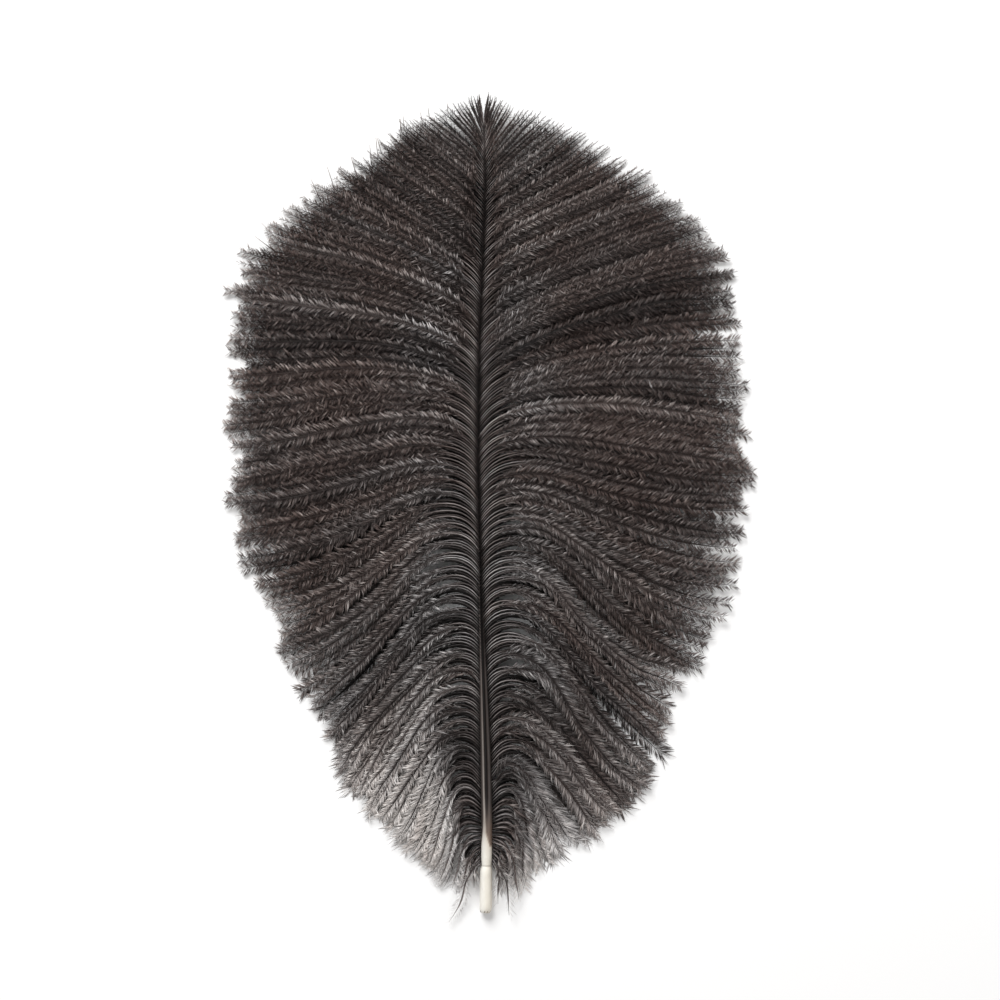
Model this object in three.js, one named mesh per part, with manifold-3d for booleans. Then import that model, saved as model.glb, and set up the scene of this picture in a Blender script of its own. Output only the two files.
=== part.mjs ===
// An ostrich feather, lying on a table with its grooved side up.
//
// It grew as one piece: a quill that runs on as the shaft, and two loose vanes.
// Ostrich barbs don't hook together, so each vane parts into soft pointed locks.
// The whole feather is one closed solid: the shaft with all of its locks joined to it.
//
// Units are millimetres and +Z is up. The shaft runs along +Y from the quill's open end,
// "at" is a distance along it, and angles are degrees above the outward horizontal,
// so that 90 points to the feather's tip and -90 back to its quill.

import * as THREE from 'three';
import { mergeVertices } from 'three/addons/utils/BufferGeometryUtils.js';
import Module from 'manifold-3d';

// Shaft: how far it bows to the right, the height of its centre, and its width.
const SHAFT_STATIONS = [
  { at: 0.0, bow: 0.0, height: 0.0, width: 2.7 },
  { at: 0.7, bow: 0.0, height: 0.0, width: 3.3 },
  { at: 2.0, bow: 0.1, height: 0.0, width: 3.5 },
  { at: 12.0, bow: 0.2, height: 0.0, width: 3.5 },
  { at: 13.6, bow: 0.3, height: 1.8, width: 2.9 },
  { at: 16.0, bow: 0.3, height: 2.0, width: 3.1 },
  { at: 25.0, bow: 0.4, height: 2.5, width: 3.1 },
  { at: 43.0, bow: 0.1, height: 3.6, width: 3.2 },
  { at: 60.0, bow: -0.4, height: 4.6, width: 2.8 },
  { at: 83.0, bow: -1.1, height: 5.8, width: 2.1 },
  { at: 125.0, bow: -2.1, height: 7.0, width: 1.3 },
  { at: 160.0, bow: -1.8, height: 7.5, width: 1.0 },
  { at: 185.0, bow: -0.8, height: 7.8, width: 0.8 },
  { at: 205.0, bow: 0.0, height: 8.2, width: 0.7 },
  { at: 221.5, bow: -0.4, height: 8.6, width: 0.4 },
];
const SHAFT_SIDES = 11;
const GROOVE_START = 25; // where the groove on top of the shaft begins
const GROOVE_LEVEL = 0.35; // height of the groove's floor, as a share of the half width
const QUILL_HOLE_WIDTH = 0.9;
const QUILL_HOLE_DEPTH = 1.4;

// Barbs: every row gives a barb's length, and its heading at four places along it.
const LEFT_BARBS = [
  { at: 16, length: 16, shoulder: -62, fall: -80, run: -70, tip: -60 },
  { at: 27, length: 27, shoulder: -45, fall: -82, run: -75, tip: -62 },
  { at: 38, length: 38, shoulder: -25, fall: -74, run: -70, tip: -60 },
  { at: 49, length: 45, shoulder: -14, fall: -60, run: -62, tip: -56 },
  { at: 66, length: 54, shoulder: -8, fall: -44, run: -50, tip: -58 },
  { at: 83, length: 61, shoulder: -6, fall: -46, run: -52, tip: -42 },
  { at: 100, length: 69, shoulder: -2, fall: -46, run: -42, tip: -20 },
  { at: 108, length: 71, shoulder: 2, fall: -38, run: -26, tip: -7 },
  { at: 117, length: 74, shoulder: 6, fall: -22, run: -15, tip: -5 },
  { at: 133, length: 74, shoulder: 12, fall: -8, run: -12, tip: -6 },
  { at: 150, length: 75, shoulder: 24, fall: 18, run: 6, tip: 0 },
  { at: 162, length: 74, shoulder: 28, fall: 21, run: 10, tip: 6 },
  { at: 184, length: 47, shoulder: 36, fall: 33, run: 36, tip: 40 },
  { at: 201, length: 33, shoulder: 46, fall: 42, run: 40, tip: 42 },
  { at: 214, length: 17, shoulder: 52, fall: 44, run: 40, tip: 40 },
  { at: 221, length: 10, shoulder: 86, fall: 88, run: 92, tip: 95 },
];
const RIGHT_BARBS = [
  { at: 16, length: 14, shoulder: -62, fall: -86, run: -86, tip: -84 },
  { at: 27, length: 27, shoulder: -50, fall: -88, run: -86, tip: -80 },
  { at: 38, length: 41, shoulder: -20, fall: -60, run: -56, tip: -62 },
  { at: 49, length: 50, shoulder: 2, fall: -46, run: -52, tip: -40 },
  { at: 66, length: 63, shoulder: -2, fall: -54, run: -58, tip: -46 },
  { at: 83, length: 70, shoulder: -4, fall: -52, run: -50, tip: -34 },
  { at: 100, length: 74, shoulder: 0, fall: -44, run: -37, tip: -17 },
  { at: 108, length: 80, shoulder: 6, fall: -30, run: -22, tip: -7 },
  { at: 117, length: 80, shoulder: 10, fall: -17, run: -13, tip: -5 },
  { at: 133, length: 79, shoulder: 16, fall: 0, run: -9, tip: -6 },
  { at: 150, length: 80, shoulder: 28, fall: 24, run: 15, tip: 2 },
  { at: 162, length: 73, shoulder: 28, fall: 25, run: 20, tip: 14 },
  { at: 184, length: 53, shoulder: 32, fall: 28, run: 28, tip: 28 },
  { at: 201, length: 32, shoulder: 46, fall: 40, run: 36, tip: 36 },
  { at: 214, length: 16, shoulder: 60, fall: 58, run: 56, tip: 60 },
  { at: 221, length: 10, shoulder: 86, fall: 87, run: 86, tip: 84 },
];
// The first barbs leave the quill downwards, and further on they leave ever more steeply upwards
// and bend out at the knee.
const LAUNCH_HEADINGS = { first: -70, middle: 62, last: 88 };
const KNEE_HEADINGS = { first: -75, middle: 48, last: 86 };
const STEEP_FROM = 14;
const STEEP_TO = 28;
const UPRIGHT_FROM = 203;
// The places of the headings, as shares of the barb's length.
const HEADING_PLACES = { launch: 0, knee: 0.05, shoulder: 0.15, fall: 0.35, run: 0.65, tip: 1 };
// Near the quill the barbs are short, so each place is raised to this power.
const SLOW_BEND = 0.62;
const SLOW_BEND_FROM = 20;
const SLOW_BEND_TO = 70;

// Locks: each is a ridged blade of barbs that ends in a point.
const LOCKS_PER_SIDE = 29;
const FIRST_LOCK_AT = 17;
const LAST_LOCK_AT = 220.5;
const LOCK_STEPS = 8;
const FINE_STEPS = 6; // a barb is followed in this many strides from ring to ring of its lock
const LOCK_REACH = 1.025; // a lock's length against its barbs', with the fluff at their ends
const LOCK_OVERLAP = 1.08; // width of a lock against its share of the vane
const LOCK_NARROWS_FROM = 0.66; // share of its length where a lock begins to taper
const LOCK_NARROWS_TO = 1.05; // just past its end, so that the point isn't drawn out too thin
const EDGE_DROP = 0.3; // a lock's edges lie below its middle, as a share of half its thickness
const EDGE_CLEARANCE = 0.6; // and at least this share above the table
const LOCK_THICKNESS = 2.6; // of a lock's upper part, where it is thickest
const KEEL_LEVEL = 0.3; // height of the down that hangs below a lock, as a share of its middle line's
const LOCK_TIP_THICKNESS = 0.7;
const LOCK_ROOT_SHARE = 0.5; // thickness of a lock's root against the shaft's width
const LOFT = 4.4; // how high the barbs arch over a straight line down to the table
const BASE_LOFT = 1.2; // and the first ones by the quill
const LOFT_PEAK = 0.25; // share of the barb's length where the arch is highest
const LAND_AT = 0.85; // and where it comes down to the table
const REST_HEIGHT = 0.6; // height of a lying barb above the table
const NOD_FROM = 195; // past here the barbs no longer reach the table
const NOD_HEIGHT = 5.0; // height of the barb tips at the feather's very end
const LIFT = 0.45; // locks lie by turns a little higher and lower
const LIFT_TURNS = 1.9; // change of that from lock to lock, in radians

function blend(stations, at, key) {
  const last = stations.length - 1;
  const next = stations.findIndex((station) => station.at > at);
  if (next === 0) return stations[0][key];
  if (next === -1) return stations[last][key];
  const share = (at - stations[next - 1].at) / (stations[next].at - stations[next - 1].at);
  return THREE.MathUtils.lerp(stations[next - 1][key], stations[next][key], share);
}

// A heading beside the shaft, which turns up from the quill to the tip.
function rootHeading({ first, middle, last }, at) {
  const steep = THREE.MathUtils.clamp((at - STEEP_FROM) / (STEEP_TO - STEEP_FROM), 0, 1);
  const upright = THREE.MathUtils.smoothstep(at, UPRIGHT_FROM, SHAFT_STATIONS.at(-1).at);
  return THREE.MathUtils.lerp(THREE.MathUtils.lerp(first, middle, steep), last, upright);
}

// Heading of a barb at a share of its length, in radians.
function heading(barbs, at, share) {
  const power = THREE.MathUtils.lerp(SLOW_BEND, 1, THREE.MathUtils.smoothstep(at, SLOW_BEND_FROM, SLOW_BEND_TO));
  const place = (name) => HEADING_PLACES[name] ** power;
  const bends = [
    { at: place('launch'), heading: rootHeading(LAUNCH_HEADINGS, at) },
    { at: place('knee'), heading: rootHeading(KNEE_HEADINGS, at) },
    { at: place('shoulder'), heading: blend(barbs, at, 'shoulder') },
    { at: place('fall'), heading: blend(barbs, at, 'fall') },
    { at: place('run'), heading: blend(barbs, at, 'run') },
    { at: place('tip'), heading: blend(barbs, at, 'tip') },
  ];
  return THREE.MathUtils.degToRad(blend(bends, share, 'heading'));
}

// Height of a barb's middle line: it arches up from the shaft and comes down to the table.
function barbHeight(at, share) {
  const nod = THREE.MathUtils.smoothstep(at, NOD_FROM, LAST_LOCK_AT);
  const end = THREE.MathUtils.lerp(REST_HEIGHT, NOD_HEIGHT, nod);
  const slope = Math.min(1, share / LAND_AT);
  const line = THREE.MathUtils.lerp(blend(SHAFT_STATIONS, at, 'height'), end, slope);
  const rise = Math.min(1, share / LOFT_PEAK);
  const fall = THREE.MathUtils.smoothstep(share, LOFT_PEAK, LAND_AT);
  const loft = THREE.MathUtils.lerp(BASE_LOFT, LOFT, THREE.MathUtils.smoothstep(at, 20, 60)) * (1 - nod);
  return line + loft * Math.sin((Math.PI / 2) * rise) * (1 - fall);
}

// The middle line of the barb that leaves the shaft at "at": LOCK_STEPS + 1 points.
function barbPath(side, barbs, at) {
  const fineSteps = LOCK_STEPS * FINE_STEPS;
  const stride = (LOCK_REACH * blend(barbs, at, 'length')) / fineSteps;
  const flat = new THREE.Vector2(blend(SHAFT_STATIONS, at, 'bow'), at);
  const path = [new THREE.Vector3(flat.x, flat.y, barbHeight(at, 0))];
  for (let step = 1; step <= fineSteps; step += 1) {
    const angle = heading(barbs, at, (step - 0.5) / fineSteps);
    flat.x += side * Math.cos(angle) * stride;
    flat.y += Math.sin(angle) * stride;
    if (step % FINE_STEPS === 0) {
      path.push(new THREE.Vector3(flat.x, flat.y, barbHeight(at, step / fineSteps)));
    }
  }
  return path;
}

// A closed skin over rings of equal size, with a point at each end. Every ring runs the same way.
function skinOver(startPoint, rings, endPoint) {
  const size = rings[0].length;
  const points = [startPoint, ...rings.flat(), endPoint];
  const endIndex = points.length - 1;
  const faces = [];
  for (let side = 0; side < size; side += 1) {
    const next = (side + 1) % size;
    faces.push(0, 1 + next, 1 + side);
    for (let ring = 0; ring < rings.length - 1; ring += 1) {
      const near = 1 + ring * size;
      const far = near + size;
      faces.push(near + side, near + next, far + next);
      faces.push(near + side, far + next, far + side);
    }
    const last = 1 + (rings.length - 1) * size;
    faces.push(last + side, last + next, endIndex);
  }
  const geometry = new THREE.BufferGeometry();
  geometry.setAttribute('position', new THREE.Float32BufferAttribute(points.flatMap((p) => [p.x, p.y, p.z]), 3));
  geometry.setIndex(faces);
  return geometry;
}

// One lock: its edges follow the barbs half a lock before and after its own.
function lockGeometry(side, barbs, number) {
  const pitch = (LAST_LOCK_AT - FIRST_LOCK_AT) / (LOCKS_PER_SIDE - 1);
  const at = FIRST_LOCK_AT + pitch * number;
  const middle = barbPath(side, barbs, at);
  const lower = barbPath(side, barbs, at - pitch / 2);
  const upper = barbPath(side, barbs, at + pitch / 2);
  const lift = LIFT * Math.sin(LIFT_TURNS * number + side);
  const rootThickness = LOCK_ROOT_SHARE * blend(SHAFT_STATIONS, at, 'width');
  const rings = [];
  for (let step = 0; step < LOCK_STEPS; step += 1) {
    const share = step / LOCK_STEPS;
    const taper = 1 - THREE.MathUtils.smoothstep(share, LOCK_NARROWS_FROM, LOCK_NARROWS_TO);
    const swell = Math.min(1, share / LOFT_PEAK);
    const body = THREE.MathUtils.lerp(LOCK_TIP_THICKNESS, LOCK_THICKNESS, taper);
    const half = THREE.MathUtils.lerp(rootThickness, body, swell) / 2;
    const height = middle[step].z + lift * swell;
    const edgeHeight = Math.max(half * EDGE_CLEARANCE, height - half * EDGE_DROP);
    const spread = LOCK_OVERLAP * taper;
    const lowerEdge = middle[step].clone().lerp(lower[step], spread).setZ(edgeHeight);
    const upperEdge = middle[step].clone().lerp(upper[step], spread).setZ(edgeHeight);
    const ridge = middle[step].clone().setZ(height + half);
    const hang = THREE.MathUtils.lerp(height - half, Math.min(height - half, height * KEEL_LEVEL), swell);
    const keel = middle[step].clone().setZ(Math.max(0, hang));
    rings.push(side > 0 ? [keel, upperEdge, ridge, lowerEdge] : [keel, lowerEdge, ridge, upperEdge]);
  }
  const root = middle[0].clone();
  const tip = middle[LOCK_STEPS].clone();
  return skinOver(root, rings, tip);
}

// The shaft from the quill's hole to its thin end, grooved on top past the quill.
function shaftGeometry() {
  const floorShare = Math.cos(Math.PI / SHAFT_SIDES);
  const ringAt = (at, width, grooved) => {
    const half = width / 2;
    const bow = blend(SHAFT_STATIONS, at, 'bow');
    const fullHalf = blend(SHAFT_STATIONS, at, 'width') / 2;
    const height = Math.max(blend(SHAFT_STATIONS, at, 'height'), fullHalf * floorShare);
    return Array.from({ length: SHAFT_SIDES }, (_, corner) => {
      const angle = (corner / SHAFT_SIDES) * 2 * Math.PI;
      const reach = corner === 0 && grooved ? half * GROOVE_LEVEL : half * Math.cos(angle);
      return new THREE.Vector3(bow + half * Math.sin(angle), at, height + reach);
    });
  };
  const holeFloor = ringAt(QUILL_HOLE_DEPTH, QUILL_HOLE_WIDTH, false);
  const holeRim = ringAt(0, QUILL_HOLE_WIDTH, false);
  const rings = SHAFT_STATIONS.map(({ at, width }) => ringAt(at, width, at > GROOVE_START));
  const centre = (ring) => ring.reduce((sum, p) => sum.add(p), new THREE.Vector3()).divideScalar(ring.length);
  return skinOver(centre(holeFloor), [holeFloor, holeRim, ...rings], centre(rings.at(-1)));
}

const wasm = await Module();
wasm.setup();

function toSolid(geometry) {
  const merged = mergeVertices(geometry, 1e-4);
  return new wasm.Manifold(new wasm.Mesh({
    numProp: 3,
    vertProperties: new Float32Array(merged.attributes.position.array),
    triVerts: new Uint32Array(merged.index.array),
  }));
}

function toGeometry(solid) {
  const mesh = solid.getMesh();
  const geometry = new THREE.BufferGeometry();
  geometry.setAttribute('position', new THREE.BufferAttribute(new Float32Array(mesh.vertProperties), 3));
  geometry.setIndex(new THREE.BufferAttribute(new Uint32Array(mesh.triVerts), 1));
  geometry.computeVertexNormals();
  return geometry;
}

function featherGeometry() {
  let solid = toSolid(shaftGeometry());
  for (const [side, barbs] of [[-1, LEFT_BARBS], [1, RIGHT_BARBS]]) {
    for (let number = 0; number < LOCKS_PER_SIDE; number += 1) {
      solid = solid.add(toSolid(lockGeometry(side, barbs, number)));
    }
  }
  return toGeometry(solid);
}

const featherMaterial = new THREE.MeshStandardMaterial({ color: 0x4c4340, roughness: 0.85, metalness: 0 });
const feather = new THREE.Mesh(featherGeometry(), featherMaterial);
feather.name = 'feather';

// The origin is below the middle of the feather, on the table.
feather.geometry.computeBoundingBox();
const box = feather.geometry.boundingBox;
feather.position.set(-(box.min.x + box.max.x) / 2, -(box.min.y + box.max.y) / 2, -box.min.z);

const group = new THREE.Group();
group.add(feather);

export default group;
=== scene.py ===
"""An ostrich feather on a pale table, seen straight from above.

The feather is one grown thing: a quill that runs on as a grooved shaft, and on each side of it
loose barbs that part into locks. Every barb carries two rows of soft blades. The shaft is one
mesh, and the barbs of each vane are parted into zones along the shaft, one mesh each.

Lengths are in millimetres until a mesh is made. "at" is a distance along the shaft from the
quill's open end, "share" is a place along a barb from 0 at the shaft to 1 at its tip, and
"run_out" is that place in millimetres. Headings are degrees above the outward horizontal: 90
points to the feather's tip. A name in capitals that holds two places is a stretch over which
something changes from nothing to all of it.

Barbs lie together in strands, and strands in locks. "ropy" is 1 in the lower vane, where the
locks lie like ropes, and 0 in the fine upper vane, so that mix(*PAIR, ropy) is the pair's first
value above and its second one below. A spread is a standard deviation. Tones run from 0 for
nearly black to 1 for nearly white, and hues from one colour ramp to the other.
"""

import math
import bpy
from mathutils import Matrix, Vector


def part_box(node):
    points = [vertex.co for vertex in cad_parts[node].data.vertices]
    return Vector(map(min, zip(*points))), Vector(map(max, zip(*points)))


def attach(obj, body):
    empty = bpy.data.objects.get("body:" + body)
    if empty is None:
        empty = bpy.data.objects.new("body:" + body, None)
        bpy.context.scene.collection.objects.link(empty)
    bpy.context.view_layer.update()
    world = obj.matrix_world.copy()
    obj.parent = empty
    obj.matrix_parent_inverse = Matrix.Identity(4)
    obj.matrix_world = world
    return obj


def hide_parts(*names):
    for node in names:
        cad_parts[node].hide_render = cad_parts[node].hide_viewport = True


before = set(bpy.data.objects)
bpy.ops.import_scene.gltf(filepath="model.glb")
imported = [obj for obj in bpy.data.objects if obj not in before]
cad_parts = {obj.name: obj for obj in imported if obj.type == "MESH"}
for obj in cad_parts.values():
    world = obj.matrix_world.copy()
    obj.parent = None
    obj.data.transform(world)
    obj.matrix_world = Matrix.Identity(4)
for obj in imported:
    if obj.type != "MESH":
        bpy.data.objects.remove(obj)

from types import SimpleNamespace

import bpy
import numpy as np
from mathutils import Vector

MM = 0.001
UP = np.array([0.0, 0.0, 1.0])
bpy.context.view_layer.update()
feather_low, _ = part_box("feather")

# ---------------- sizes of the feather

# Shaft: how far it bows to the right, the height of its centre, and its width.
SHAFT_STATIONS = [
    # at, bow, height, width
    (0.0, 0.0, 0.0, 2.7),
    (0.7, 0.0, 0.0, 3.3),
    (2.0, 0.1, 0.0, 3.5),
    (12.0, 0.2, 0.0, 3.5),
    (13.6, 0.3, 1.8, 2.9),
    (16.0, 0.3, 2.0, 3.1),
    (25.0, 0.4, 2.5, 3.1),
    (43.0, 0.1, 3.6, 3.2),
    (60.0, -0.4, 4.6, 2.8),
    (83.0, -1.1, 5.8, 2.1),
    (125.0, -2.1, 7.0, 1.3),
    (160.0, -1.8, 7.5, 1.0),
    (185.0, -0.8, 7.8, 0.8),
    (205.0, 0.0, 8.2, 0.7),
    (221.5, -0.4, 8.6, 0.4),
]
BOW, HEIGHT, WIDTH = 1, 2, 3  # columns of the table
SHAFT_LENGTH = SHAFT_STATIONS[-1][0]
LEFT_REACH = 75.0  # from the quill's end to the left edge of the feather's box

# Barbs: length, and heading at four places along the barb.
LEFT_BARBS = [
    # at, length, shoulder, fall, run, tip
    (16, 16, -62, -80, -70, -60),
    (27, 27, -45, -82, -75, -62),
    (38, 38, -25, -74, -70, -60),
    (49, 45, -14, -60, -62, -56),
    (66, 54, -8, -44, -50, -58),
    (83, 61, -6, -46, -52, -42),
    (100, 69, -2, -46, -42, -20),
    (108, 71, 2, -38, -26, -7),
    (117, 74, 6, -22, -15, -5),
    (133, 74, 12, -8, -12, -6),
    (150, 75, 24, 18, 6, 0),
    (162, 74, 28, 21, 10, 6),
    (184, 47, 36, 33, 36, 40),
    (201, 33, 46, 42, 40, 42),
    (214, 17, 52, 44, 40, 40),
    (221, 10, 89, 93, 99, 103),
]
RIGHT_BARBS = [
    # at, length, shoulder, fall, run, tip
    (16, 14, -62, -86, -86, -84),
    (27, 27, -50, -88, -86, -80),
    (38, 41, -20, -60, -56, -62),
    (49, 50, 2, -46, -52, -40),
    (66, 63, -2, -54, -58, -46),
    (83, 70, -4, -52, -50, -34),
    (100, 74, 0, -44, -37, -17),
    (108, 80, 6, -30, -22, -7),
    (117, 80, 10, -17, -13, -5),
    (133, 79, 16, 0, -9, -6),
    (150, 80, 28, 24, 15, 2),
    (162, 73, 28, 25, 20, 14),
    (184, 53, 32, 28, 28, 28),
    (201, 32, 46, 40, 36, 36),
    (214, 16, 60, 58, 56, 60),
    (221, 10, 89, 91, 89, 85),
]
# The first barbs leave the quill downwards, and further on they leave ever more steeply upwards
# and bend out at the knee.
LAUNCH_HEADINGS = (-70, 62, 89)  # of the first barbs, in the middle, and of the last ones
KNEE_HEADINGS = (-75, 48, 89)
STEEP = (14, 28)
UPRIGHT = (203, SHAFT_LENGTH)
HEADING_PLACES = (0, 0.05, 0.15, 0.35, 0.65, 1)  # of launch, knee, shoulder, fall, run and tip
SLOW_BEND = 0.62  # near the quill the barbs are short, so each place is raised to this power
PLAIN_BEND = (20, 70)
HEADING_GRID_STEP = 0.5
HEADING_GRID_SPARE = 8  # past the shaft's end
SOFTEN_ALONG_SHAFT = 10  # grid steps
SOFTEN_ALONG_BARB = 2  # path steps

# Barbs leave the thick lower shaft at its sides, and the thin upper shaft beside its groove.
ROOT_BESIDE = (0.8, 0.2)  # a root's distance from the shaft's middle, as a share of its half width
ROOT_ABOVE = (0.1, 0.9)
ROOT_MOVES = (40, 100)

FIRST_BARB_AT = 14.6
LAST_BARB_AT = 221.2
# BARB_PITCH: at, distance along the shaft from one barb to the next.
BARB_PITCH = [(14, 0.9), (55, 0.9), (80, 0.86), (222, 0.86)]
PITCH_SPREAD = 0.1
# STRAND_SIZES: at, fewest barbs in a strand, most.
STRAND_SIZES = [(14, 1, 3), (30, 3, 5), (85, 2, 4), (105, 1, 3), (200, 1, 2)]
# LOCK_SIZES: at, fewest strands in a lock, most.
LOCK_SIZES = [(14, 1, 2), (85, 1, 3), (105, 1, 2), (150, 1, 1)]
PATH_STEPS = 60
PATH_GRID = np.linspace(0, 1, PATH_STEPS + 1) ** 1.4  # path points lie closer beside the shaft
PATH_SHARES = PATH_GRID[None, :]
WEB_RINGS = np.array([*range(0, 24, 2), *range(24, 60, 4), 60])
# CRISP_WIDTH: at, how far from the shaft the barbs stay parted into clean ridges.
CRISP_WIDTH = [
    (16, 2.0), (22, 4.5), (32, 7.0), (50, 9.5), (80, 10.5),
    (105, 10.5), (140, 8.5), (170, 6.0), (200, 3.5), (221, 3.0),
]
LEAST_CRISP = 0.8

# Height: the barbs arch up beside the shaft and come down to the table, but for the last ones.
LOFT = 4.4
BASE_LOFT = 1.2
LOFT_GROWS = (20, 60)
LOFT_PEAK = 0.25
LAND_AT = 0.85
REST_HEIGHT = 0.9
LEAST_HEIGHT = 0.35
NOD = (195, LAST_BARB_AT)
NOD_HEIGHT = 5.0

# BLADE_SPACING: at, distance along the barb from one blade to the next.
BLADE_SPACING = [(16, 0.5), (24, 0.38), (32, 0.3), (50, 0.26), (70, 0.215), (222, 0.215)]
# BLADE_LENGTH: at, how long a full blade is.
BLADE_LENGTH = [
    (16, 5.4), (35, 5.6), (55, 4.6), (80, 3.6),
    (125, 3.1), (180, 2.7), (205, 2.0), (221, 0.9),
]
CRISP_DENSITY = 0.45  # blades in the crisp strip beside the shaft, as a share of those outside
ZONES = {"base": 60, "lower": 105, "middle": 148, "upper": SHAFT_LENGTH + 1}  # each one's end
DOWN = (15, 26)  # below this stretch the barbs are ragged down
ROPES_END = (80, 125)
BASE_ENDS = (30, 60)
CALM_BASE_ENDS = (35, 75)


# ---------------- helpers


def ease(value, low, high):
    t = np.clip((value - low) / (high - low), 0, 1)
    return t * t * (3 - 2 * t)


def mix(a, b, share):
    return a + (b - a) * share


def unit(vectors):
    return vectors / np.maximum(np.linalg.norm(vectors, axis=-1, keepdims=True), 1e-9)


def along_table(table, place, column=1):
    """A table's column, read at places of its first column."""
    rows = np.array(table, float)
    return np.interp(place, rows[:, 0], rows[:, column])


def shaft_value(at, column):
    return along_table(SHAFT_STATIONS, at, column)


def soften(field, reach):
    """field, averaged along its first axis over about reach rows to each side."""
    offsets = np.arange(-2 * reach, 2 * reach + 1)
    weights = np.exp(-0.5 * (offsets / reach) ** 2)
    rows = np.clip(np.arange(len(field))[:, None] + offsets, 0, len(field) - 1)
    return np.tensordot(weights / weights.sum(), field[rows], axes=(0, 1))


def mesh_object(name, points, faces, tones, hues):
    """A smooth mesh from points in mm, with each corner's place on the colour map as its UV."""
    mesh = bpy.data.meshes.new(name)
    mesh.vertices.add(len(points))
    mesh.vertices.foreach_set("co", (points * MM).astype(np.float32).ravel())
    sides = faces.shape[1]
    mesh.loops.add(faces.size)
    mesh.loops.foreach_set("vertex_index", faces.astype(np.int32).ravel())
    mesh.polygons.add(len(faces))
    mesh.polygons.foreach_set("loop_start", np.arange(0, faces.size, sides, dtype=np.int32))
    mesh.polygons.foreach_set("use_smooth", np.full(len(faces), True))
    layer = mesh.uv_layers.new(name="OFBake")
    corners = np.stack([tones, hues], axis=1)[faces.ravel()]
    layer.data.foreach_set("uv", np.clip(corners, 0.01, 0.99).astype(np.float32).ravel())
    mesh.update(calc_edges=True)
    mesh.validate()
    item = bpy.data.objects.new(name, mesh)
    bpy.context.collection.objects.link(item)
    return item


def to_row(points):
    """Points measured from the quill's end, moved to where the CAD feather lies."""
    quill_x = feather_low[0] / MM + LEFT_REACH
    quill_y = feather_low[1] / MM
    return points + np.array([quill_x, quill_y, 0.0])


# ---------------- paths of the barbs


def root_heading(headings, at):
    first, middle, last = headings
    steep = np.clip((at - STEEP[0]) / (STEEP[1] - STEEP[0]), 0, 1)
    return mix(mix(first, middle, steep), last, ease(at, *UPRIGHT))


def heading_field(stations):
    """Headings in radians for every grid place along the shaft and every path step."""
    at = np.arange(0, SHAFT_LENGTH + HEADING_GRID_SPARE, HEADING_GRID_STEP)
    columns = [root_heading(LAUNCH_HEADINGS, at), root_heading(KNEE_HEADINGS, at)]
    columns += [along_table(stations, at, column) for column in range(2, 6)]
    by_place = np.stack(columns, axis=1)
    shares = (PATH_GRID[1:] + PATH_GRID[:-1]) / 2
    power = mix(SLOW_BEND, 1, ease(at, *PLAIN_BEND))
    places = np.array(HEADING_PLACES)[None, :] ** power[:, None]
    field = np.stack([np.interp(shares, place, row) for place, row in zip(places, by_place)])
    field = soften(field, SOFTEN_ALONG_SHAFT)
    field = soften(field.T, SOFTEN_ALONG_BARB).T
    return at, np.radians(field)


def guide_paths(side, field, at, length):
    """Flat middle lines, PATH_STEPS + 1 points each, of barbs that leave the shaft at "at"."""
    grid, headings = field
    place = np.interp(at, grid, np.arange(len(grid)))
    low = np.minimum(place.astype(int), len(grid) - 2)
    share = (place - low)[:, None]
    angle = mix(headings[low], headings[low + 1], share)
    stride = length[:, None] * np.diff(PATH_GRID)[None, :]
    beside = side * root_place(at, ROOT_BESIDE) * shaft_value(at, WIDTH) / 2
    start = np.stack([shaft_value(at, BOW) + beside, at], axis=1)[:, None, :]
    moves = np.stack([side * np.cos(angle) * stride, np.sin(angle) * stride], axis=2)
    return np.concatenate([start, start + np.cumsum(moves, axis=1)], axis=1)


def root_place(at, places):
    return mix(*places, ease(at, *ROOT_MOVES))


def gap_between(paths):
    """How far apart neighbouring paths run, measured across them, at every point."""
    along = unit(np.gradient(paths, axis=1))
    beside = np.gradient(paths, axis=0)
    return np.abs(beside[..., 0] * along[..., 1] - beside[..., 1] * along[..., 0])


def barb_height(at, share):
    nod = ease(at, *NOD)
    end = mix(REST_HEIGHT, NOD_HEIGHT, nod)
    slope = np.minimum(1, share / LAND_AT)
    root = shaft_value(at, HEIGHT) + root_place(at, ROOT_ABOVE) * shaft_value(at, WIDTH) / 2
    line = mix(root, end, slope)
    rise = np.minimum(1, share / LOFT_PEAK)
    fall = ease(share, LOFT_PEAK, LAND_AT)
    loft = mix(BASE_LOFT, LOFT, ease(at, *LOFT_GROWS)) * (1 - nod)
    return line + loft * np.sin(math.pi / 2 * rise) * (1 - fall)


def looseness(run_out, crisp):
    """0 in the crisp strip beside the shaft, and 1 where the barbs lie loose."""
    return ease(run_out, 0.5 * crisp, 2 * crisp)


def wave(count, turns, spread, rng):
    """A gentle side-to-side wave along each of count paths, of some turns from fewest to most."""
    own_turns = rng.uniform(*turns, (count, 1))
    phase = rng.uniform(0, 1, (count, 1))
    size = rng.normal(0, spread, (count, 1))
    return size * PATH_SHARES * np.sin(2 * np.pi * (own_turns * PATH_SHARES + phase))


DRIFT_WAVELENGTHS = (17, 26, 41, 70)
DRIFT_SIZE = 0.008  # as a share of the wavelength
DRIFT_TURNS = (0.2, 0.8)


def vane_drift(at, share, rng):
    """A sideways drift that neighbouring barbs share: a sum of long slanting waves."""
    total = 0
    for wavelength in DRIFT_WAVELENGTHS:
        turns = rng.uniform(*DRIFT_TURNS)
        phase = rng.uniform(0, 1)
        slant = at / wavelength + turns * share
        total = total + DRIFT_SIZE * wavelength * np.sin(2 * np.pi * (slant + phase))
    return total * share


# ---------------- how the barbs lie together


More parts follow.
